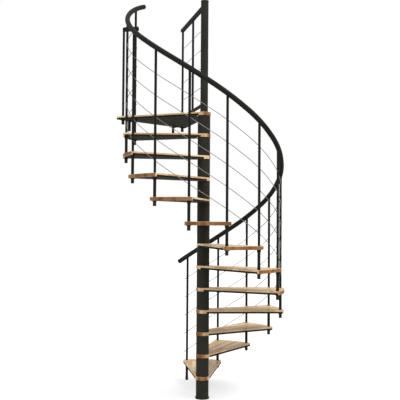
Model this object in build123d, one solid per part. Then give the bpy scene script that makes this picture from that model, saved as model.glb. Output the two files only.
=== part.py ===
from build123d import *
import os
from math import asin, atan2, cos, degrees, hypot, radians, sin, tan

os.makedirs("parts", exist_ok=True)

# A modular spiral staircase that climbs clockwise, seen from above.
# The origin is the centre of the pole's foot on the floor, and the landing's exit faces +Y.

# The flight
rise = 217.0
tread_count = 12
step_angle = 25.3
outer_radius = 800.0
baluster_inset = 32.0
tread_end_width = 421.0

# The wooden treads and their steel trays
board_thickness = 33.0
round_over = 3.5
corner_rounding = 14.0
tray_sheet = 3.0
tray_flange = 17.0
tray_end_lip = 13.0
tray_hub_gap = 8.0

# The pole
pole_radius = 62.5
pole_wall = 4.0
spacer_ring = 5.0
core_radius = 30.0
core_wall = 4.0
core_above_landing = 80.0
base_radius = 68.5
base_thickness = 12.0
anchor_circle = 88.0
anchor_count = 4
anchor_hole_radius = 5.5

# The landing
landing_half_angle = 26.0
landing_past_balusters = 140.0
landing_corner_rounding = 12.0
corner_exit_inset = 35.0
corner_side_inset = 45.0

# The floor brackets under the landing's exit edge
bracket_spacing = 608.0
bracket_width = 34.0
bracket_sheet = 5.0
bracket_bend = 6.0
bracket_leg = 65.0
bracket_drop = 105.0
bracket_top_hole = 36.0
bracket_hole_spacing = 45.0
bracket_hole_rows = 2
bracket_hole_radius = 5.5

# The balusters and what holds them in the treads
baluster_radius = 12.0
hole_clearance = 0.3
sleeve_wall = 2.0
ferrule_wall = 2.0
ferrule_top_radius = 21.0
ferrule_height = 28.0
washer_radius = 22.0
washer_thickness = 6.0
cap_radius = 15.5
cap_floor = 5.0
cap_rounding = 3.0
cap_drop = 48.0
foot_height = 30.0

# The handrail and the five rods that follow it
rail_radius = 24.0
rail_height = 1356.0
rail_lower_end = 0.31
rail_upper_end = 0.44
rail_upper_levelling = 100.0
rail_end_rounding = 12.0
joint_gap = 0.3
rod_radius = 3.0
rod_count = 5
rod_spacing = 197.5
rod_below_rail = 237.0
rod_end = 0.09
run_share = 0.45
bend_passes = 12

# The post on the landing, its guard and the short corner rail
post_radius = 38.0
post_wall = 3.0
post_above_guard = 41.0
post_cap_radius = 39.5
post_cap_height = 10.0
post_cap_dome = 6.0
post_cap_plug = 20.0
guard_height = 1072.0
guard_end = 30.0
guard_bar_radius = 17.5
guard_bar_height = 84.0
guard_rod_count = 4
guard_rod_spacing = 193.0
guard_rod_below_rail = 220.0
guard_rod_end = 30.0
corner_rail_above_rod = 13.0
corner_rail_inner_end = 32.0
corner_rail_outer_end = 12.0
corner_rail_outer_rounding = 20.0

# How far a cutting tool reaches past what it cuts
cut_margin = 30.0

# Worked out from the sizes above
floor_height = rise * (tread_count + 1)
baluster_circle = outer_radius - baluster_inset
side_angle = radians(landing_half_angle)
landing_reach = baluster_circle * cos(side_angle) + landing_past_balusters
post_height = guard_height + post_above_guard
hub_radius = pole_radius + round_over
tray_hub_radius = hub_radius + tray_hub_gap
hole_radius = baluster_radius + hole_clearance
sleeve_bore = baluster_radius + hole_clearance
sleeve_radius = sleeve_bore + sleeve_wall
half_step = radians(step_angle / 2)
top_baluster_angle = 90.0 + landing_half_angle
# The corner uprights stand inside the landing's outer corners, mirrored about its middle line
corner_x = landing_reach - corner_exit_inset
corner_y = (hub_radius - corner_side_inset + corner_x * sin(side_angle)) / cos(side_angle)
guard_angle = 90.0 - degrees(atan2(corner_y, corner_x))
guard_reach = hypot(corner_x, corner_y)
guard_middle = guard_reach / 2
rod_heights = [rail_height - rod_below_rail - rod_spacing * row for row in range(rod_count)]
corner_rail_height = rod_heights[0] - rise + corner_rail_above_rod
guard_rod_heights = [guard_height - guard_rod_below_rail - guard_rod_spacing * row
                     for row in range(guard_rod_count)]


def baluster_angle(number):
    """The angle of a baluster on its circle; number 0 stands on the floor."""
    return top_baluster_angle + step_angle * (tread_count - number)


def climb(number):
    """Moves a piece made at baluster 0 on the X axis to the same place at another baluster."""
    return Location((0, 0, rise * number), (0, 0, baluster_angle(number)))


def save(pieces, node):
    """Writes one node; several pieces become one compound of separate solids."""
    shape = pieces[0] if len(pieces) == 1 else Compound(children=list(pieces))
    shape.label = node
    export_step(shape, os.path.join("parts", node + ".step"))


def ring(outer, inner, low, high):
    """A plain ring about the Z axis between two heights."""
    return Pos(0, 0, low) * extrude(Circle(outer) - Circle(inner), high - low)


def bar(radius, low, high):
    """A round bar about the Z axis between two heights."""
    return Pos(0, 0, low) * extrude(Circle(radius), high - low)


# Every board is a wedge whose sides are tangent to its round hub.
def wedge(half_angle, offset, reach):
    """A wedge along +X: two sides at an offset from the axis, ending at a straight edge."""
    a = radians(half_angle)
    back_x = -offset * sin(a)
    back_y = offset * cos(a)
    front_y = (offset + reach * sin(a)) / cos(a)
    outline = Polyline((back_x, back_y), (reach, front_y), (reach, -front_y), (back_x, -back_y), close=True)
    return make_face(outline)


def wooden_board(outline, tray, corner_radius, holes):
    """A board with rounded corners and upper edges, rebated below for its steel tray."""
    face = outline + Circle(hub_radius)
    corners = face.vertices().sort_by(Axis.X)[-2:]
    face = fillet(corners, corner_radius)
    board = Pos(0, 0, -board_thickness) * extrude(face, board_thickness)
    top = board.faces().sort_by(Axis.Z)[-1]
    board = fillet(top.outer_wire().edges(), round_over)
    board -= bar(core_radius + hole_clearance, -board_thickness, 0)
    board -= tray
    for x, y in holes:
        board -= Pos(x, y, 0) * bar(hole_radius, -board_thickness, 0)
    return board


def steel_tray(half_angle, outline, limit, holes):
    """A sheet tray under a board: a floor and two upturned side flanges."""
    hub = Circle(tray_hub_radius)
    floor = (outline & limit) - hub
    inside = wedge(half_angle, hub_radius - tray_sheet, landing_reach + cut_margin)
    flanges = floor - inside
    tray = extrude(floor, tray_sheet) + extrude(flanges, tray_flange)
    tray = Pos(0, 0, -board_thickness) * tray
    for x, y in holes:
        tray -= Pos(x, y, 0) * bar(hole_radius, -board_thickness, 0)
    return tray


# The treads
half_end = tread_end_width / 2
tread_half_angle = degrees(asin(half_end / outer_radius) - asin(hub_radius / outer_radius))
tread_holes = [(baluster_circle * cos(half_step), side * baluster_circle * sin(half_step))
               for side in (1, -1)]
tread_wedge = wedge(tread_half_angle, hub_radius, outer_radius + cut_margin)
tread_outline = tread_wedge & Circle(outer_radius)
tread_tray = steel_tray(tread_half_angle, tread_wedge, Circle(outer_radius - tray_end_lip), tread_holes)
tread_board = wooden_board(tread_outline, tread_tray, corner_rounding, tread_holes)


def tread_place(number):
    """The place of a tread: its top at its own rise, half a step before its trailing baluster."""
    return Location((0, 0, rise * number), (0, 0, baluster_angle(number) + step_angle / 2))


for number in range(1, tread_count + 1):
    save([tread_place(number) * tread_board], f"tread_{number:02d}")
save([tread_place(number) * tread_tray for number in range(1, tread_count + 1)], "tread_trays")

# The landing, with holes for the last baluster and for an upright in each outer corner
landing_holes = [
    (baluster_circle * cos(side_angle), baluster_circle * sin(side_angle)),
    (corner_x, corner_y),
    (corner_x, -corner_y),
]
landing_outline = wedge(landing_half_angle, hub_radius, landing_reach)
landing_limit = wedge(landing_half_angle, hub_radius, landing_reach - tray_end_lip)
landing_tray = steel_tray(landing_half_angle, landing_outline, landing_limit, landing_holes)
landing_board = wooden_board(landing_outline, landing_tray, landing_corner_rounding, landing_holes)
landing_place = Location((0, 0, floor_height), (0, 0, 90))
save([landing_place * landing_board], "landing_board")
save([landing_place * landing_tray], "landing_tray")

# The floor brackets: bent straps that hang from the landing and bolt to the edge of the upper floor
bracket_path = Polyline(
    (landing_reach - bracket_leg, 0),
    (landing_reach, 0),
    (landing_reach, -bracket_drop),
    (landing_reach - bracket_sheet, -bracket_drop),
    (landing_reach - bracket_sheet, -bracket_sheet),
    (landing_reach - bracket_leg, -bracket_sheet),
    close=True,
)
bracket_face = Plane.YZ * make_face(bracket_path)
bracket = extrude(bracket_face, bracket_width / 2, both=True)
inner_bend = bracket.edges().filter_by(Axis.X).sort_by_distance(
    (0, landing_reach - bracket_sheet, -bracket_sheet))[0]
bracket = fillet(inner_bend, bracket_bend)
for row in range(bracket_hole_rows):
    hole = Pos(0, landing_reach, -bracket_top_hole - bracket_hole_spacing * row)
    bracket -= hole * Rot(90, 0, 0) * Cylinder(bracket_hole_radius, 2 * cut_margin)
bracket_level = floor_height - board_thickness
save([Pos(side * bracket_spacing / 2, 0, bracket_level) * bracket for side in (-1, 1)], "floor_brackets")

# The pole: a base plate, a core tube and one spacer between each two boards
base_plate = bar(base_radius, 0, base_thickness)
for x, y in [(location.position.X, location.position.Y)
             for location in PolarLocations(anchor_circle / 2, anchor_count)]:
    base_plate -= Pos(x, y, 0) * bar(anchor_hole_radius, 0, base_thickness)
save([base_plate], "base_plate")

core_top = floor_height + core_above_landing
save([ring(core_radius, core_radius - core_wall, base_thickness, core_top)], "core_tube")

spacers = []
for number in range(1, tread_count + 2):
    low = rise * (number - 1) if number > 1 else base_thickness
    high = rise * number - board_thickness
    spacer = ring(pole_radius, pole_radius - pole_wall, low, high)
    spacer += ring(pole_radius, core_radius + hole_clearance, high - spacer_ring, high)
    if number > 1:
        spacer += ring(pole_radius, core_radius + hole_clearance, low, low + spacer_ring)
    spacers.append(spacer)
save(spacers, "pole_spacers")

post_top = floor_height + post_height
save([ring(post_radius, post_radius - post_wall, floor_height, post_top)], "upper_post")

plug_radius = post_radius - post_wall
cap_disc = bar(post_cap_radius, post_top, post_top + post_cap_height)
dome_radius = (post_cap_radius**2 + post_cap_dome**2) / (2 * post_cap_dome)
dome = Pos(0, 0, post_top + post_cap_height + post_cap_dome - dome_radius) * Sphere(dome_radius)
dome &= bar(post_cap_radius, post_top + post_cap_height, post_top + post_cap_height + post_cap_dome)
save([cap_disc + dome + bar(plug_radius, post_top - post_cap_plug, post_top)], "post_cap")


# The handrail and the rods share one path: straight runs joined by tangent arcs, one bend at each
# baluster, so that the middle of every arc lies on the baluster circle.
def run_and_turn(radius):
    """The length of one straight run of the path before bending, and the turn between two runs."""
    points = [Vector(radius * cos(2 * half_step * k), -radius * sin(2 * half_step * k), rise * k)
              for k in (-1, 0, 1)]
    first = points[1] - points[0]
    second = points[2] - points[1]
    return first.length, radians(first.get_angle(second))


# The corner radius and the bend depend on each other, so each pass brings them closer.
bend_corner = baluster_circle
for _ in range(bend_passes):
    run, turn = run_and_turn(bend_corner)
    bend_corner = baluster_circle + run_share * run * tan(turn / 4)
run, turn = run_and_turn(bend_corner)
bend_radius = run_share * run / tan(turn / 2)
first_bend = run * (1 - run_share) + bend_radius * turn / 2
bay_length = run * (1 - 2 * run_share) + bend_radius * turn


def bay_path(height, levelling=0.0):
    """The path over one bay and the bays beside it, at a height above each baluster's own rise.

    The levelling lowers its last corner, so that the path flattens past station 1."""
    corners = []
    for k in (-1, 0, 1, 2):
        angle = 2 * half_step * k
        level = height + rise * k - (levelling if k == 2 else 0)
        corners.append((bend_corner * cos(angle), -bend_corner * sin(angle), level))
    return FilletPolyline(*corners, radius=bend_radius)


def bay(radius, height, start, end, levelling=0.0):
    """A round bar along the path from one station to another; stations 0 and 1 are balusters."""
    path = bay_path(height, levelling)
    section = Plane(origin=path @ 0, z_dir=path % 0) * Circle(radius)
    piece = sweep(section, path=path)
    for station, side in ((start, 1), (end, -1)):
        trim = joint_gap / 2 if station in (0, 1) else 0
        along = first_bend + bay_length * station
        point = path.position_at(along, position_mode=PositionMode.LENGTH)
        heading = path.tangent_at(along, position_mode=PositionMode.LENGTH)
        cut = Plane(origin=point + heading * (trim * side), z_dir=heading * side)
        piece = split(piece, bisect_by=cut, keep=Keep.TOP)
    return piece


def rounded_end(piece, station, levelling=0.0):
    """Rounds the free end of a handrail piece."""
    path = bay_path(rail_height, levelling)
    along = first_bend + bay_length * station
    point = path.position_at(along, position_mode=PositionMode.LENGTH)
    end_face = piece.faces().filter_by(GeomType.PLANE).sort_by_distance(point)[0]
    return fillet(end_face.edges(), rail_end_rounding)


rail_bay = bay(rail_radius, rail_height, 0, 1)
rail_first = rounded_end(bay(rail_radius, rail_height, -rail_lower_end, 1), -rail_lower_end)
rail_last = bay(rail_radius, rail_height, 0, 1 + rail_upper_end, rail_upper_levelling)
rail_last = rounded_end(rail_last, 1 + rail_upper_end, rail_upper_levelling)
rail_pieces = [climb(0) * rail_first]
rail_pieces += [climb(number) * rail_bay for number in range(1, tread_count - 1)]
rail_pieces += [climb(tread_count - 1) * rail_last]
save(rail_pieces, "handrail")

rod_ends = {0: (-rod_end, 1), tread_count - 1: (0, 1 + rod_end)}
for row, height in enumerate(rod_heights, start=1):
    middle = bay(rod_radius, height, 0, 1)
    rods = []
    for number in range(tread_count):
        rod = bay(rod_radius, height, *rod_ends[number]) if number in rod_ends else middle
        rods.append(climb(number) * rod)
    save(rods, f"rod_row_{row}")

# The balusters, drilled for the rods and shaped to the underside of the handrail
rail_over_baluster = bay(rail_radius, rail_height, -rail_lower_end, rail_lower_end)
path_at_baluster = bay_path(0)
drill_heading = path_at_baluster.tangent_at(first_bend, position_mode=PositionMode.LENGTH)
drill_length = 2 * (baluster_radius + cut_margin)


def baluster(bottom, rail):
    """A baluster at the X axis, from its bottom end to the rail over it."""
    post = Pos(baluster_circle, 0, 0) * bar(baluster_radius, bottom, rail_height)
    post -= rail
    for height in rod_heights:
        drill = Plane(origin=(baluster_circle, 0, height), z_dir=drill_heading)
        post -= drill * Cylinder(rod_radius + hole_clearance, drill_length)
    return post


cap_bottom = -board_thickness - cap_drop
cap_inside = cap_bottom + cap_floor
foot_baluster = baluster(cap_floor, rail_over_baluster)
common_baluster = baluster(cap_inside, rail_over_baluster)
one_bay_back = Location((0, 0, -rise), (0, 0, step_angle))
last_baluster = baluster(cap_inside, one_bay_back * rail_last)
balusters = [climb(0) * foot_baluster]
balusters += [climb(number) * common_baluster for number in range(1, tread_count)]
balusters += [climb(tread_count) * last_baluster]
save(balusters, "balusters")


def end_cap(bottom, top):
    """A closed cap on the lower end of a baluster, with a rounded rim."""
    cap = bar(cap_radius, bottom, top)
    cap = fillet(cap.edges().group_by(Axis.Z)[0], cap_rounding)
    return cap - bar(baluster_radius, bottom + cap_floor, top)


# Under each trailing hole a washer and an end cap; under each leading hole a ferrule round the sleeve
washer = ring(washer_radius, baluster_radius, -board_thickness - washer_thickness, -board_thickness)
lower_cap = end_cap(cap_bottom, -board_thickness - washer_thickness)
ferrule_low = -board_thickness - ferrule_height
ferrule = Pos(0, 0, ferrule_low) * loft([Circle(sleeve_radius + hole_clearance + ferrule_wall),
                                        Pos(0, 0, ferrule_height) * Circle(ferrule_top_radius)])
ferrule -= bar(sleeve_radius + hole_clearance, ferrule_low, -board_thickness)
on_circle = Pos(baluster_circle, 0, 0)
corner_places = [landing_place * Pos(corner_x, side * corner_y, 0) for side in (1, -1)]
trailing_places = [climb(number) * on_circle for number in range(1, tread_count + 1)] + corner_places
leading_places = [climb(number) * on_circle * Pos(0, 0, rise) for number in range(tread_count + 1)]
save([place * washer for place in trailing_places], "hole_washers")
foot_cap = end_cap(0, foot_height)
save([climb(0) * on_circle * foot_cap] + [place * lower_cap for place in trailing_places], "baluster_caps")
save([place * ferrule for place in leading_places], "sleeve_ferrules")

# The sleeves keep the distance between two treads at their shared baluster
sleeve_top = rise - board_thickness
common_sleeve = ring(sleeve_radius, sleeve_bore, 0, sleeve_top)
foot_sleeve = ring(sleeve_radius, sleeve_bore, foot_height, sleeve_top)
sleeves = [climb(0) * on_circle * foot_sleeve]
sleeves += [climb(number) * on_circle * common_sleeve for number in range(1, tread_count + 1)]
save(sleeves, "baluster_sleeves")


# The guard along the landing's other side and the short rail at its corner
def on_line(angle):
    """Turns a piece made along +X on the landing to a line at an angle from the pole."""
    return Location((0, 0, floor_height), (0, 0, angle))


def level_bar(radius, start, end, height):
    """A level round bar along +X."""
    return Pos(start, 0, height) * Rot(0, 90, 0) * extrude(Circle(radius), end - start)


post_core = bar(post_radius, 0, post_height)
guard_rail = level_bar(rail_radius, 0, guard_reach + guard_end, guard_height)
guard_rail = fillet(guard_rail.edges().sort_by(Axis.X)[-1], rail_end_rounding) - post_core
save([on_line(guard_angle) * guard_rail], "guard_rail")


def guard_baluster(distance, bottom):
    """An upright of the guard, drilled for its rods."""
    upright = Pos(distance, 0, 0) * bar(baluster_radius, bottom, guard_height) - guard_rail
    for height in guard_rod_heights:
        start = distance - drill_length / 2
        upright -= level_bar(rod_radius + hole_clearance, start, start + drill_length, height)
    return upright


guard_end_upright = guard_baluster(guard_reach, cap_inside)
guard_bar = level_bar(guard_bar_radius, 0, guard_reach, guard_bar_height)
guard_bar = guard_bar - post_core - guard_end_upright
guard_bar = guard_bar.solids().sort_by(SortBy.VOLUME)[-1]
guard_middle_upright = guard_baluster(guard_middle, guard_bar_height) - guard_bar
save([on_line(guard_angle) * guard_bar], "guard_bottom_bar")
save([on_line(guard_angle) * upright for upright in (guard_middle_upright, guard_end_upright)],
     "guard_balusters")

guard_rods = []
for height in guard_rod_heights:
    inner = level_bar(rod_radius, 0, guard_middle - joint_gap / 2, height) - post_core
    outer = level_bar(rod_radius, guard_middle + joint_gap / 2, guard_reach + guard_rod_end, height)
    guard_rods += [on_line(guard_angle) * inner, on_line(guard_angle) * outer]
save(guard_rods, "guard_rods")

# The short rail starts at the last baluster, which passes through it, and ends on the corner upright
last_x, last_y = landing_holes[0]
corner_heading = degrees(atan2(corner_y - last_y, corner_x - last_x))
corner_length = hypot(corner_x - last_x, corner_y - last_y)
corner_place = landing_place * Location((last_x, last_y, 0), (0, 0, corner_heading))
corner_rail_end = corner_length + corner_rail_outer_end
corner_rail = level_bar(rail_radius, -corner_rail_inner_end, corner_rail_end, corner_rail_height)
ends = corner_rail.edges().filter_by(GeomType.CIRCLE).sort_by(Axis.X)
corner_rail = fillet(ends[-1], corner_rail_outer_rounding)
corner_rail = fillet(corner_rail.edges().filter_by(GeomType.CIRCLE).sort_by(Axis.X)[0], rail_end_rounding)
corner_upright = Pos(corner_length, 0, 0) * bar(baluster_radius, cap_inside, corner_rail_height) - corner_rail
corner_rail -= bar(baluster_radius, 0, guard_height)
top_rod_bore = bay(rod_radius + hole_clearance, rod_heights[0], 1 - 2 * rod_end, 1 + 2 * rod_end)
save([corner_place * corner_rail - climb(tread_count - 1) * top_rod_bore], "corner_rail")
save([corner_place * corner_upright], "corner_baluster")
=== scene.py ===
import math
import bmesh
import bpy
from mathutils import Euler, Matrix


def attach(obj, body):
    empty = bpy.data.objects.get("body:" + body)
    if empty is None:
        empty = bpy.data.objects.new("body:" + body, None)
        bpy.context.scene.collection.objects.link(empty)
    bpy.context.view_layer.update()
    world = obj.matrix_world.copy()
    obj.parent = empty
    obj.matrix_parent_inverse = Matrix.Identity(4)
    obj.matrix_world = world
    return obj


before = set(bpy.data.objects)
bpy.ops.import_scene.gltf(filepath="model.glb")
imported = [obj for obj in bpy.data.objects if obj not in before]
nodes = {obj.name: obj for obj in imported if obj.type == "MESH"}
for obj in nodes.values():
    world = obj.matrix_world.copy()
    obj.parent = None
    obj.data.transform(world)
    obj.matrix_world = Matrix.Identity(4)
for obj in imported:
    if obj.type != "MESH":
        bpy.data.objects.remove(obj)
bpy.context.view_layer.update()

# Camera. It stands 6.6 m from the pole at eye height, and looks a little up, as the photograph does.
# The picture leans by under half a degree.
camera_data = bpy.data.cameras.new("camera")
camera_data.sensor_width = 36.0
camera_data.lens = 60.0
camera = bpy.data.objects.new("camera", camera_data)
heading, pitch, lean = math.radians(47.10), math.radians(1.754), math.radians(0.397)
camera.location = (-4.5276, -4.8214, 1.7462)
facing = Euler((math.pi / 2 + pitch, 0, heading - math.pi / 2), "XYZ").to_matrix()
camera.rotation_euler = (facing @ Matrix.Rotation(lean, 3, "Z")).to_euler()
bpy.context.scene.collection.objects.link(camera)
bpy.context.scene.camera = camera
bpy.context.scene.view_settings.view_transform = "Standard"

# Studio. A white surround and a pale floor that runs out of sight, under one broad lamp high on the
# camera's right and a weaker one on its left.
world = bpy.data.worlds.new("studio")
bpy.context.scene.world = world
world.use_nodes = True
tree = world.node_tree
surround = tree.nodes["Background"]
surround.inputs["Color"].default_value = (1, 1, 1, 1)
rays = tree.nodes.new("ShaderNodeLightPath")
seen = tree.nodes.new("ShaderNodeMath")
seen.operation = "MAXIMUM"
seen_too = tree.nodes.new("ShaderNodeMath")
seen_too.operation = "MAXIMUM"
level = tree.nodes.new("ShaderNodeMapRange")
level.inputs["To Min"].default_value = 0.74
level.inputs["To Max"].default_value = 1.0
tree.links.new(rays.outputs["Is Camera Ray"], seen.inputs[0])
tree.links.new(rays.outputs["Is Glossy Ray"], seen.inputs[1])
tree.links.new(seen.outputs[0], seen_too.inputs[0])
tree.links.new(rays.outputs["Is Transmission Ray"], seen_too.inputs[1])
tree.links.new(seen_too.outputs[0], level.inputs["Value"])
tree.links.new(level.outputs["Result"], surround.inputs["Strength"])

for name, strength, spread, turn in (
    ("right_lamp", 1.6, 40, (math.radians(36), 0, math.radians(20))),
    ("left_lamp", 0.5, 60, (math.radians(55), 0, math.radians(-80))),
):
    lamp = bpy.data.lights.new(name, "SUN")
    lamp.energy = strength
    lamp.angle = math.radians(spread)
    lamp_object = bpy.data.objects.new(name, lamp)
    lamp_object.rotation_euler = Euler(turn)
    bpy.context.scene.collection.objects.link(lamp_object)

bm = bmesh.new()
bmesh.ops.create_grid(bm, x_segments=1, y_segments=1, size=60)
floor_mesh = bpy.data.meshes.new("floor")
bm.to_mesh(floor_mesh)
bm.free()
floor = bpy.data.objects.new("floor", floor_mesh)
bpy.context.scene.collection.objects.link(floor)
floor_finish = bpy.data.materials.new("pale_floor")
floor_finish.use_nodes = True
tree = floor_finish.node_tree
paint = tree.nodes["Principled BSDF"]
paint.inputs["Base Color"].default_value = (0.5, 0.5, 0.5, 1)
paint.inputs["Roughness"].default_value = 1.0
paint.inputs["Specular IOR Level"].default_value = 0.0
paint.inputs["Emission Color"].default_value = (1, 1, 1, 1)
rays = tree.nodes.new("ShaderNodeLightPath")
glow = tree.nodes.new("ShaderNodeMath")
glow.operation = "MULTIPLY"
glow.inputs[1].default_value = 0.6
seen = tree.nodes.new("ShaderNodeMath")
seen.operation = "MAXIMUM"
tree.links.new(rays.outputs["Is Camera Ray"], seen.inputs[0])
tree.links.new(rays.outputs["Is Glossy Ray"], seen.inputs[1])
tree.links.new(seen.outputs[0], glow.inputs[0])
tree.links.new(glow.outputs[0], paint.inputs["Emission Strength"])
floor_mesh.materials.append(floor_finish)


# Pole. Spacer tubes of powder-coated steel stand between the boards round a core tube, on a base plate.
# The coat is a warm black with the fine, slightly uneven skin that baked powder has.
def powder_group():
    """The skin of baked powder paint: a colour with faint clouds, a roughness and a fine height."""
    group = bpy.data.node_groups.new("powder_skin", "ShaderNodeTree")
    group.interface.new_socket("Colour", in_out="INPUT", socket_type="NodeSocketColor")
    group.interface.new_socket("Roughness", in_out="INPUT", socket_type="NodeSocketFloat")
    group.interface.new_socket("Grain", in_out="INPUT", socket_type="NodeSocketFloat")
    group.interface.new_socket("Colour", in_out="OUTPUT", socket_type="NodeSocketColor")
    group.interface.new_socket("Roughness", in_out="OUTPUT", socket_type="NodeSocketFloat")
    group.interface.new_socket("Height", in_out="OUTPUT", socket_type="NodeSocketFloat")
    given = group.nodes.new("NodeGroupInput")
    result = group.nodes.new("NodeGroupOutput")
    place = group.nodes.new("ShaderNodeTexCoord")
    skin = group.nodes.new("ShaderNodeTexNoise")
    skin.inputs["Detail"].default_value = 3.0
    group.links.new(place.outputs["Object"], skin.inputs["Vector"])
    group.links.new(given.outputs["Grain"], skin.inputs["Scale"])
    cloud = group.nodes.new("ShaderNodeTexNoise")
    cloud.inputs["Scale"].default_value = 7.0
    cloud.inputs["Detail"].default_value = 4.0
    group.links.new(place.outputs["Object"], cloud.inputs["Vector"])
    tone = group.nodes.new("ShaderNodeMapRange")
    tone.inputs["From Min"].default_value = 0.3
    tone.inputs["From Max"].default_value = 0.7
    tone.inputs["To Min"].default_value = 0.86
    tone.inputs["To Max"].default_value = 1.14
    group.links.new(cloud.outputs["Fac"], tone.inputs["Value"])
    colour = group.nodes.new("ShaderNodeVectorMath")
    colour.operation = "SCALE"
    group.links.new(given.outputs["Colour"], colour.inputs[0])
    group.links.new(tone.outputs["Result"], colour.inputs["Scale"])
    group.links.new(colour.outputs["Vector"], result.inputs["Colour"])
    uneven = group.nodes.new("ShaderNodeMath")
    uneven.operation = "MULTIPLY_ADD"
    uneven.inputs[1].default_value = 0.12
    group.links.new(cloud.outputs["Fac"], uneven.inputs[0])
    group.links.new(given.outputs["Roughness"], uneven.inputs[2])
    group.links.new(uneven.outputs[0], result.inputs["Roughness"])
    group.links.new(skin.outputs["Fac"], result.inputs["Height"])
    return group


powder_skin = powder_group()


def powder_paint(name, colour, roughness, grain, depth, gloss):
    """A powder-coated or moulded finish that takes its skin from the group."""
    finish = bpy.data.materials.new(name)
    finish.use_nodes = True
    tree = finish.node_tree
    surface = tree.nodes["Principled BSDF"]
    surface.inputs["Specular IOR Level"].default_value = gloss
    skin = tree.nodes.new("ShaderNodeGroup")
    skin.node_tree = powder_skin
    skin.inputs["Colour"].default_value = (*colour, 1)
    skin.inputs["Roughness"].default_value = roughness
    skin.inputs["Grain"].default_value = grain
    bump = tree.nodes.new("ShaderNodeBump")
    bump.inputs["Strength"].default_value = 0.35
    bump.inputs["Distance"].default_value = depth
    tree.links.new(skin.outputs["Colour"], surface.inputs["Base Color"])
    tree.links.new(skin.outputs["Roughness"], surface.inputs["Roughness"])
    tree.links.new(skin.outputs["Height"], bump.inputs["Height"])
    tree.links.new(bump.outputs["Normal"], surface.inputs["Normal"])
    return finish


def finish_node(name, finish):
    """Gives a CAD node its finish."""
    mesh = nodes[name].data
    if mesh.materials:
        for index in range(len(mesh.materials)):
            mesh.materials[index] = finish
    else:
        mesh.materials.append(finish)


pole_black = powder_paint("pole_black", (0.0335, 0.0330, 0.0270), 0.55, 900.0, 0.0002, 0.03)
for name in ("base_plate", "core_tube", "pole_spacers", "upper_post"):
    finish_node(name, pole_black)
cap_black = powder_paint("cap_black", (0.0225, 0.0225, 0.0190), 0.58, 1600.0, 0.0001, 0.15)
finish_node("post_cap", cap_black)


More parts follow.
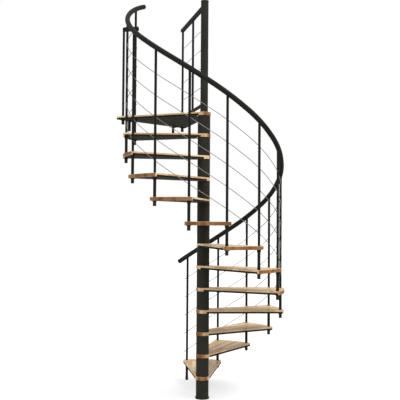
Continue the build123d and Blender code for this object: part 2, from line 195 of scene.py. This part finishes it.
# Treads. Each is glued up from finger-jointed beech staves that run out from the pole, and is lacquered
# clear. Their tone differs from stave to stave, and the cut ends are darker than the faces.
def stave_group():
    """Beech staves along X: colour, roughness and height from a place on the board and its facing."""
    group = bpy.data.node_groups.new("beech_staves", "ShaderNodeTree")
    group.interface.new_socket("Place", in_out="INPUT", socket_type="NodeSocketVector")
    group.interface.new_socket("Facing", in_out="INPUT", socket_type="NodeSocketVector")
    group.interface.new_socket("Colour", in_out="OUTPUT", socket_type="NodeSocketColor")
    group.interface.new_socket("Roughness", in_out="OUTPUT", socket_type="NodeSocketFloat")
    group.interface.new_socket("Height", in_out="OUTPUT", socket_type="NodeSocketFloat")
    new, link = group.nodes.new, group.links.new

    def maths(operation, first, second=None, third=None):
        node = new("ShaderNodeMath")
        node.operation = operation
        for socket, value in zip(node.inputs, (first, second, third)):
            if value is None:
                continue
            if isinstance(value, (int, float)):
                socket.default_value = value
            else:
                link(value, socket)
        return node.outputs[0]

    def mixed(share, first, second):
        node = new("ShaderNodeMix")
        node.data_type = "RGBA"
        for socket, value in zip((node.inputs[0], node.inputs[6], node.inputs[7]), (share, first, second)):
            if isinstance(value, tuple):
                socket.default_value = (*value, 1)
            elif isinstance(value, float):
                socket.default_value = value
            else:
                link(value, socket)
        return node.outputs[2]

    # Each stave is a row of blocks, and each block has its own random tone and grain
    stave_width = 0.043
    block_length = 0.46
    tooth_width = 0.0054
    given, result = new("NodeGroupInput"), new("NodeGroupOutput")
    apart = new("ShaderNodeSeparateXYZ")
    link(given.outputs["Place"], apart.inputs[0])
    x, y, z = apart.outputs
    across = maths("DIVIDE", y, stave_width)
    stave = maths("FLOOR", across)
    stave_random = new("ShaderNodeTexWhiteNoise")
    stave_random.noise_dimensions = "1D"
    link(stave, stave_random.inputs["W"])
    start = maths("MULTIPLY", stave_random.outputs["Value"], 9.0)
    along = maths("ADD", maths("DIVIDE", x, block_length), start)
    length = maths("FLOOR", along)
    block = new("ShaderNodeCombineXYZ")
    link(stave, block.inputs[0])
    link(length, block.inputs[1])
    block_random = new("ShaderNodeTexWhiteNoise")
    block_random.noise_dimensions = "2D"
    link(block.outputs[0], block_random.inputs["Vector"])
    random = new("ShaderNodeSeparateColor")
    link(block_random.outputs["Color"], random.inputs[0])

    # The grain runs along each stave, and starts somewhere else in the next
    own = new("ShaderNodeVectorMath")
    own.operation = "MULTIPLY_ADD"
    own.inputs[1].default_value = (13.0, 7.0, 5.0)
    link(block_random.outputs["Color"], own.inputs[0])
    link(given.outputs["Place"], own.inputs[2])
    stretch = new("ShaderNodeVectorMath")
    stretch.operation = "MULTIPLY"
    stretch.inputs[1].default_value = (3.5, 60.0, 60.0)
    link(own.outputs[0], stretch.inputs[0])
    figure = new("ShaderNodeTexNoise")
    figure.inputs["Scale"].default_value = 1.0
    figure.inputs["Detail"].default_value = 5.0
    figure.inputs["Distortion"].default_value = 0.35
    link(stretch.outputs[0], figure.inputs["Vector"])
    fleck_place = new("ShaderNodeVectorMath")
    fleck_place.operation = "MULTIPLY"
    fleck_place.inputs[1].default_value = (190.0, 1100.0, 1100.0)
    link(own.outputs[0], fleck_place.inputs[0])
    fleck = new("ShaderNodeTexNoise")
    fleck.inputs["Scale"].default_value = 1.0
    fleck.inputs["Detail"].default_value = 1.0
    link(fleck_place.outputs[0], fleck.inputs["Vector"])

    tone = maths("MULTIPLY_ADD", figure.outputs["Fac"], 0.50, maths("MULTIPLY", random.outputs[0], 0.90))
    tone = maths("SUBTRACT", tone, 0.30)
    colour = mixed(tone, (0.96, 0.74, 0.465), (0.60, 0.34, 0.130))
    reddish = maths("MULTIPLY", maths("GREATER_THAN", random.outputs[1], 0.72), 0.45)
    colour = mixed(reddish, colour, (0.56, 0.29, 0.11))
    flecks = maths("MULTIPLY", maths("GREATER_THAN", fleck.outputs["Fac"], 0.62), 0.30)
    colour = mixed(flecks, colour, (0.30, 0.15, 0.065))

    # Glue lines between the staves, and the short joint across a stave
    edge = maths("ABSOLUTE", maths("SUBTRACT", maths("FRACT", across), 0.5))
    line = maths("GREATER_THAN", edge, 0.491)
    tooth = maths("ABSOLUTE", maths("SUBTRACT", maths("FRACT", maths("DIVIDE", y, tooth_width)), 0.5))
    toothed = maths("MULTIPLY_ADD", tooth, 0.044, along)
    end = maths("ABSOLUTE", maths("SUBTRACT", maths("FRACT", toothed), 0.5))
    joint = maths("GREATER_THAN", end, 0.4985)
    glued = maths("MULTIPLY", maths("MAXIMUM", line, joint), 0.35)
    colour = mixed(glued, colour, (0.20, 0.10, 0.045))

    # Cut ends take up more lacquer, and show pores in place of streaks
    facing = new("ShaderNodeSeparateXYZ")
    link(given.outputs["Facing"], facing.inputs[0])
    cut = new("ShaderNodeMapRange")
    cut.inputs["From Min"].default_value = 0.46
    cut.inputs["From Max"].default_value = 0.80
    link(maths("ABSOLUTE", facing.outputs[0]), cut.inputs["Value"])
    pores = new("ShaderNodeTexNoise")
    pores.inputs["Scale"].default_value = 900.0
    link(given.outputs["Place"], pores.inputs["Vector"])
    darker = maths("MULTIPLY", cut.outputs[0], maths("MULTIPLY_ADD", pores.outputs["Fac"], 0.16, 0.84))
    end_colour = mixed(random.outputs[0], (0.33, 0.135, 0.042), (0.16, 0.055, 0.014))
    colour = mixed(darker, colour, end_colour)
    link(colour, result.inputs["Colour"])

    rough = maths("MULTIPLY_ADD", figure.outputs["Fac"], 0.14, maths("MULTIPLY_ADD", darker, 0.18, 0.30))
    link(rough, result.inputs["Roughness"])
    grain = maths("MULTIPLY_ADD", fleck.outputs["Fac"], -0.3, figure.outputs["Fac"])
    link(maths("SUBTRACT", grain, glued), result.inputs["Height"])
    return group


beech_staves = stave_group()


def beech(name, angle, shift):
    """Lacquered beech with its staves at an angle about the pole and its own part of the timber."""
    finish = bpy.data.materials.new(name)
    finish.use_nodes = True
    tree = finish.node_tree
    surface = tree.nodes["Principled BSDF"]
    surface.inputs["Specular IOR Level"].default_value = 0.04
    surface.inputs["Coat Roughness"].default_value = 0.30
    surface.inputs["Coat Weight"].default_value = 0.02
    where = tree.nodes.new("ShaderNodeTexCoord")
    staves = tree.nodes.new("ShaderNodeGroup")
    staves.node_tree = beech_staves
    for output, socket, kind in (("Object", "Place", "POINT"), ("Normal", "Facing", "NORMAL")):
        turn = tree.nodes.new("ShaderNodeMapping")
        turn.vector_type = kind
        turn.inputs["Rotation"].default_value = (0, 0, -angle)
        if kind == "POINT":
            turn.inputs["Location"].default_value = shift
        tree.links.new(where.outputs[output], turn.inputs["Vector"])
        tree.links.new(turn.outputs["Vector"], staves.inputs[socket])
    bump = tree.nodes.new("ShaderNodeBump")
    bump.inputs["Strength"].default_value = 0.25
    bump.inputs["Distance"].default_value = 0.0003
    tree.links.new(staves.outputs["Colour"], surface.inputs["Base Color"])
    tree.links.new(staves.outputs["Roughness"], surface.inputs["Roughness"])
    tree.links.new(staves.outputs["Height"], bump.inputs["Height"])
    tree.links.new(bump.outputs["Normal"], surface.inputs["Normal"])
    return finish


tread_count = 12
rise = 0.217
step_angle = math.radians(25.3)
top_baluster_angle = math.radians(116.0)


def baluster_angle(number):
    """The angle of a baluster about the pole; number 0 stands on the floor."""
    return top_baluster_angle + step_angle * (tread_count - number)


for number in range(1, tread_count + 1):
    middle = baluster_angle(number) + step_angle / 2
    shift = (number * 0.731, number * 0.129 + 0.0215, -rise * number)
    finish_node(f"tread_{number:02d}", beech(f"beech_{number:02d}", middle, shift))
finish_node("landing_board", beech("beech_landing", math.pi / 2, (0.3, 0.0215, -rise * (tread_count + 1))))


# Trays. Each board lies in a tray of folded sheet steel, coated as the pole is, and is held down in it
# by six socket screws from below.
# Their black is darker than the pole's same coat: painted shade under the boards.
tray_black_painted_shade = powder_paint("tray_black_painted_shade", (0.0200, 0.0195, 0.0155), 0.60, 900.0, 0.0002, 0.015)
for name in ("tread_trays", "landing_tray"):
    finish_node(name, tray_black_painted_shade)
screw_black = powder_paint("screw_black", (0.022, 0.022, 0.019), 0.36, 2600.0, 0.00005, 0.30)


def turned(name, profile, steps, hollow=None):
    """A closed turned shape from its half section, (radius, height) pairs that end on the axis.

    With a hollow radius, the round hole of that radius becomes a hexagon."""
    bm = bmesh.new()
    line = [bm.verts.new((radius, 0, height)) for radius, height in profile]
    edges = [bm.edges.new(pair) for pair in zip(line, line[1:])]
    bmesh.ops.spin(bm, geom=line + edges, axis=(0, 0, 1), cent=(0, 0, 0), angle=2 * math.pi, steps=steps,
                   use_merge=True)
    bmesh.ops.remove_doubles(bm, verts=bm.verts, dist=1e-6)
    if hollow:
        between = [v for v in bm.verts if abs(v.co.xy.length - hollow) < 1e-6
                   and round(math.atan2(v.co.y, v.co.x) * steps / (2 * math.pi)) % 2]
        flat = math.cos(2 * math.pi / steps)
        bmesh.ops.scale(bm, vec=(flat, flat, 1), verts=between)
    bmesh.ops.recalc_face_normals(bm, faces=bm.faces)
    mesh = bpy.data.meshes.new(name)
    bm.to_mesh(mesh)
    bm.free()
    return mesh


def repeated(name, shape, places, finish):
    """One piece of the scene: a shape set at each place, with the given finish in its material slot."""
    bm = bmesh.new()
    for place in places:
        before = len(bm.verts)
        bm.from_mesh(shape)
        bm.verts.ensure_lookup_table()
        bmesh.ops.transform(bm, matrix=place, verts=bm.verts[before:])
    mesh = bpy.data.meshes.new(name)
    bm.to_mesh(mesh)
    bm.free()
    mesh.materials.append(finish)
    piece = bpy.data.objects.new(name, mesh)
    bpy.context.scene.collection.objects.link(piece)
    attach(piece, "root")
    return piece


def placed(angle, level, x, y, z):
    """A place on a board: x out from the pole along the board's middle, z from its upper face."""
    return (Matrix.Translation((0, 0, level)) @ Matrix.Rotation(angle, 4, "Z")
            @ Matrix.Translation((x, y, z)))


board_thickness = 0.033
facing_down = Matrix.Rotation(math.pi, 4, "X")
tray_screw = turned("tray_screw", (
    (0, 0), (0.0050, 0), (0.0050, 0.0008), (0.0044, 0.0019), (0.0030, 0.0024), (0.0021, 0.0024),
    (0.0021, 0.0010), (0, 0.0010)), 12, hollow=0.0021)
tread_screws = ((0.13, 0.055), (0.42, 0.11), (0.72, 0.07))
landing_screws = ((0.16, 0.10), (0.45, 0.22), (0.72, 0.28))
tray_screw_places = []
for number in range(1, tread_count + 1):
    middle = baluster_angle(number) + step_angle / 2
    for x, y in tread_screws:
        for side in (1, -1):
            place = placed(middle, rise * number, x, y * side, -board_thickness)
            tray_screw_places.append(place @ facing_down)
landing_level = rise * (tread_count + 1)
for x, y in landing_screws:
    for side in (1, -1):
        place = placed(math.pi / 2, landing_level, x, y * side, -board_thickness)
        tray_screw_places.append(place @ facing_down)
repeated("tray_screws", tray_screw, tray_screw_places, screw_black)


# Floor brackets. Two bent straps under the landing's exit edge, each held up by one hexagon bolt, with
# two more through its leg into the edge of the upper floor. The bolts are black, over plain washers.
# The straps take the trays' darker black, painted shade under the landing.
finish_node("floor_brackets", tray_black_painted_shade)
bolt_head = turned("bolt_head", (
    (0, 0.0016), (0.0098, 0.0016), (0.0098, 0.0072), (0.0088, 0.0080), (0, 0.0080)), 6)
bolt_washer = turned("bolt_washer", (
    (0, 0), (0.0112, 0), (0.0116, 0.0004), (0.0116, 0.0016), (0, 0.0016)), 24)
landing_reach = 0.8302738
bracket_aside = 0.304
bracket_sheet = 0.005
bolt_inset = 0.044
bolt_drops = (0.036, 0.081)
facing_pole = Matrix.Rotation(-math.pi / 2, 4, "Y")
bolt_places = []
for side in (1, -1):
    under = -board_thickness - bracket_sheet
    place = placed(math.pi / 2, landing_level, landing_reach - bolt_inset, bracket_aside * side, under)
    bolt_places.append(place @ facing_down)
    for drop in bolt_drops:
        under = -board_thickness - drop
        place = placed(math.pi / 2, landing_level, landing_reach - bracket_sheet, bracket_aside * side, under)
        bolt_places.append(place @ facing_pole)
repeated("bracket_bolts", bolt_head, bolt_places, screw_black)
repeated("bracket_washers", bolt_washer, bolt_places, screw_black)


# Balusters. Slim black tubes with the sleeves, ferrules and washers that clamp them in the treads, and
# moulded caps on their lower ends. A small socket screw holds each rod where it goes through.
tube_black = powder_paint("tube_black", (0.0190, 0.0190, 0.0157), 0.52, 1300.0, 0.0001, 0.03)
for name in ("balusters", "baluster_sleeves", "hole_washers", "sleeve_ferrules", "corner_baluster",
             "guard_balusters"):
    finish_node(name, tube_black)
finish_node("baluster_caps", cap_black)

baluster_circle = 0.768
baluster_radius = 0.012
top_rod, rod_spacing = 1.119, 0.1975
rod_heights = [top_rod - rod_spacing * row for row in range(5)]
corner_x, corner_y = landing_reach - 0.035, 0.411246
guard_angle = math.atan2(corner_x, corner_y)
guard_reach = math.hypot(corner_x, corner_y)
guard_top_rod, guard_rod_spacing = 0.852, 0.193
guard_rod_heights = [guard_top_rod - guard_rod_spacing * row for row in range(4)]
grub_screw = turned("grub_screw", (
    (0, -0.0012), (0.0027, -0.0012), (0.0027, 0.0003), (0.0023, 0.0006), (0.0014, 0.0006), (0.0014, -0.0008),
    (0, -0.0008)), 12, hollow=0.0014)
grub_places = []
for number in range(tread_count + 1):
    for height in rod_heights:
        place = placed(baluster_angle(number), rise * number, baluster_circle - baluster_radius, 0, height)
        grub_places.append(place @ facing_pole)
for distance in (guard_reach / 2, guard_reach):
    for height in guard_rod_heights:
        place = placed(guard_angle, landing_level, distance, baluster_radius, height)
        grub_places.append(place @ Matrix.Rotation(-math.pi / 2, 4, "X"))
repeated("rod_grub_screws", grub_screw, grub_places, screw_black)


# Handrail and the level rails of the landing. Black tube, a little smoother than the balusters because
# hands polish it.
rail_black = powder_paint("rail_black", (0.0220, 0.0220, 0.0182), 0.50, 1500.0, 0.0001, 0.03)
for name in ("handrail", "guard_rail", "corner_rail", "guard_bottom_bar"):
    finish_node(name, rail_black)


# Rods. Thin drawn stainless steel that runs through the balusters, with a small black cap on each end.
rod_steel = bpy.data.materials.new("rod_steel")
rod_steel.use_nodes = True
tree = rod_steel.node_tree
surface = tree.nodes["Principled BSDF"]
surface.inputs["Metallic"].default_value = 1.0
where = tree.nodes.new("ShaderNodeTexCoord")
streak = tree.nodes.new("ShaderNodeTexNoise")
streak.inputs["Scale"].default_value = 420.0
streak.inputs["Detail"].default_value = 4.0
tree.links.new(where.outputs["Object"], streak.inputs["Vector"])
tone = tree.nodes.new("ShaderNodeMix")
tone.data_type = "RGBA"
tone.inputs[6].default_value = (0.110, 0.105, 0.093, 1)
tone.inputs[7].default_value = (0.240, 0.230, 0.206, 1)
tree.links.new(streak.outputs["Fac"], tone.inputs[0])
tree.links.new(tone.outputs[2], surface.inputs["Base Color"])
dull = tree.nodes.new("ShaderNodeMapRange")
dull.inputs["To Min"].default_value = 0.28
dull.inputs["To Max"].default_value = 0.46
tree.links.new(streak.outputs["Fac"], dull.inputs["Value"])
tree.links.new(dull.outputs["Result"], surface.inputs["Roughness"])
drawn = tree.nodes.new("ShaderNodeBump")
drawn.inputs["Strength"].default_value = 0.2
drawn.inputs["Distance"].default_value = 0.00004
tree.links.new(streak.outputs["Fac"], drawn.inputs["Height"])
tree.links.new(drawn.outputs["Normal"], surface.inputs["Normal"])
for name in ("rod_row_1", "rod_row_2", "rod_row_3", "rod_row_4", "rod_row_5", "guard_rods"):
    finish_node(name, rod_steel)

rod_cap = turned("rod_cap", (
    (0, -0.0070), (0.0040, -0.0070), (0.0042, -0.0066), (0.0042, -0.0004), (0.0038, 0.0006), (0.0026, 0.0014),
    (0, 0.0017)), 16)
rod_slope = math.radians(32.89)
rod_past = 0.0362
rod_inward = 0.0007
guard_rod_past = 0.030
rod_cap_places = []
for height in rod_heights:
    for number, turn in ((0, math.pi), (tread_count, 0)):
        crossing = placed(baluster_angle(number), rise * number, baluster_circle, 0, height)
        heading = crossing @ Matrix.Rotation(math.pi / 2 - rod_slope + turn, 4, "X")
        rod_cap_places.append(heading @ Matrix.Translation((-rod_inward, 0, rod_past)))
for height in guard_rod_heights:
    place = placed(guard_angle, landing_level, guard_reach + guard_rod_past, 0, height)
    rod_cap_places.append(place @ Matrix.Rotation(math.pi / 2, 4, "Y"))
repeated("rod_end_caps", rod_cap, rod_cap_places, cap_black)
